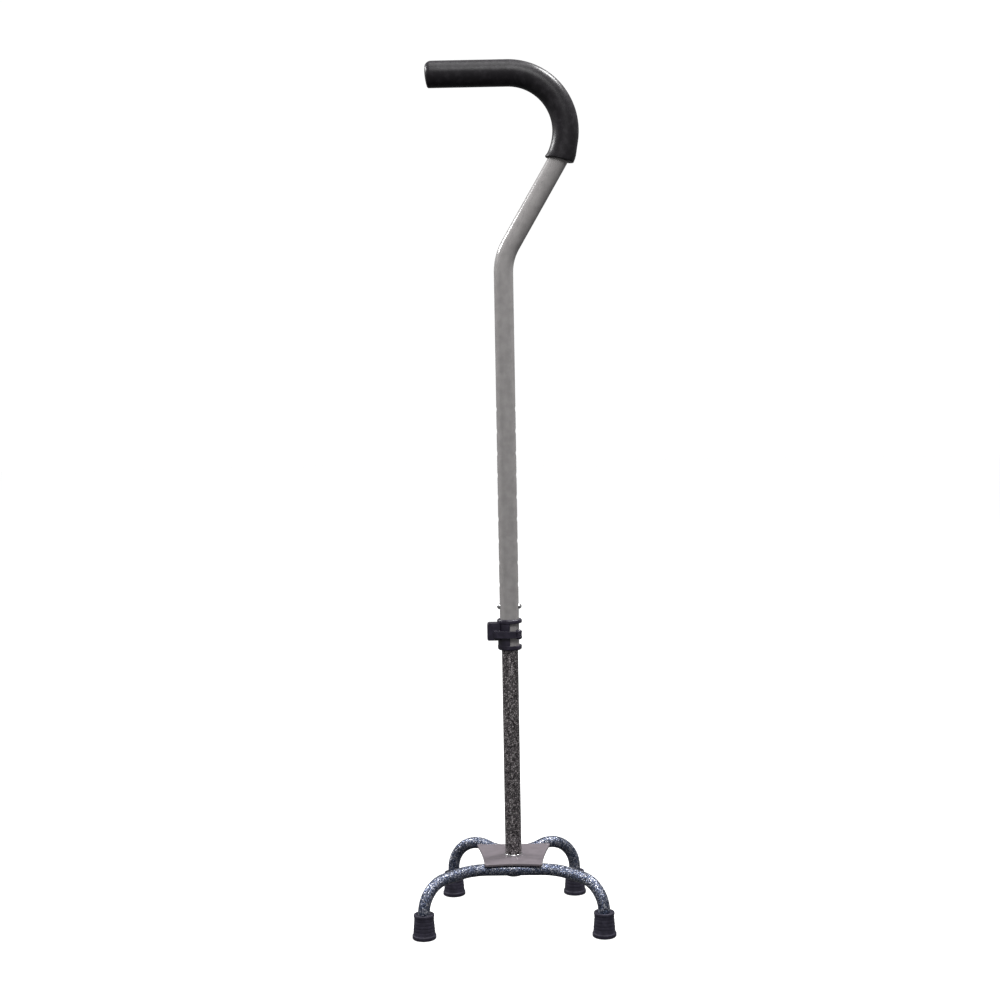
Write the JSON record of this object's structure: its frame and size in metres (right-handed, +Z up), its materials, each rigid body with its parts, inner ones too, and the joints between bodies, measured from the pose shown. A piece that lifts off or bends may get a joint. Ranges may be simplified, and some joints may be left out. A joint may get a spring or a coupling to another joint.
{
  "type": "quad walking cane",
  "caption": "Height-adjustable walking cane with an offset handle, a telescopic tube, a lever collar and a wide base on rubber-tipped legs.",
  "frame": {"origin": "on the floor under the shaft's axis, at the middle of the feet's rectangle", "axes": "+Z up along the shaft; +X the side the offset bend bulges to, so the hand grip points along -X; -Y the front, where the feet stand wider apart"},
  "size_m": [0.2304, 0.1796, 0.9902],
  "materials": {
    "grip_rubber": "satin moulded rubber",
    "satin_aluminium": "satin grey",
    "black_plastic": "semi-matte",
    "white_nylon": "matte",
    "hammered_grey": "hammered, semi-gloss",
    "hammered_blue": "hammered, semi-gloss",
    "plate_paint": "satin grey",
    "chromed_steel": "bright",
    "plated_steel": "zinc plated",
    "tip_rubber": "matte"
  },
  "bodies": {
    "base": {"lower_tube": "hammered_grey", "snap_spring": "plated_steel", "shaft_ring": "chromed_steel", "shaft_weld": "plate_paint", "shaft_end_cap": "black_plastic", "base_plate": "plate_paint", "front_leg_tube": "hammered_blue", "rear_leg_tube": "hammered_blue", "front_plate_weld": "plate_paint", "rear_plate_weld": "plate_paint", "front_left_tip": "tip_rubber", "front_right_tip": "tip_rubber", "rear_left_tip": "tip_rubber", "rear_right_tip": "tip_rubber", "front_left_tip_washer": "plated_steel", "front_right_tip_washer": "plated_steel", "rear_left_tip_washer": "plated_steel", "rear_right_tip_washer": "plated_steel"},
    "bushing": {"guide_bushing": "white_nylon"},
    "handle": {"upper_tube": "satin_aluminium", "hand_grip": "grip_rubber", "handle_end_plug": "black_plastic", "collar_sleeve": "black_plastic", "lever_pin": "plated_steel"},
    "lever": {"lock_lever": "black_plastic"},
    "left_button": {"left_button": "chromed_steel"},
    "right_button": {"right_button": "chromed_steel"}
  },
  "joints": [
    {"name": "handle_turn", "type": "hinge", "parent": "base", "child": "bushing", "pos_m": [0, 0, 0.42], "axis": [0, 0, 1], "range_deg": [0, 180], "deforming": ["snap_spring", "left_button", "right_button"]},
    {"name": "height", "type": "slide", "parent": "bushing", "child": "handle", "axis": [0, 0, 1], "range_m": [-0.2286, 0]},
    {"name": "lever_open", "type": "hinge", "parent": "handle", "child": "lever", "pos_m": [0.0105, -0.0113, 0.334], "axis": [0, 0, 1], "range_deg": [0, 80]},
    {"name": "left_button_press", "type": "slide", "parent": "base", "child": "left_button", "axis": [1, 0, 0], "range_m": [0, 0.005], "stiffness_N_per_m": 300},
    {"name": "right_button_press", "type": "slide", "parent": "base", "child": "right_button", "axis": [-1, 0, 0], "range_m": [0, 0.005], "stiffness_N_per_m": 300}
  ]
}
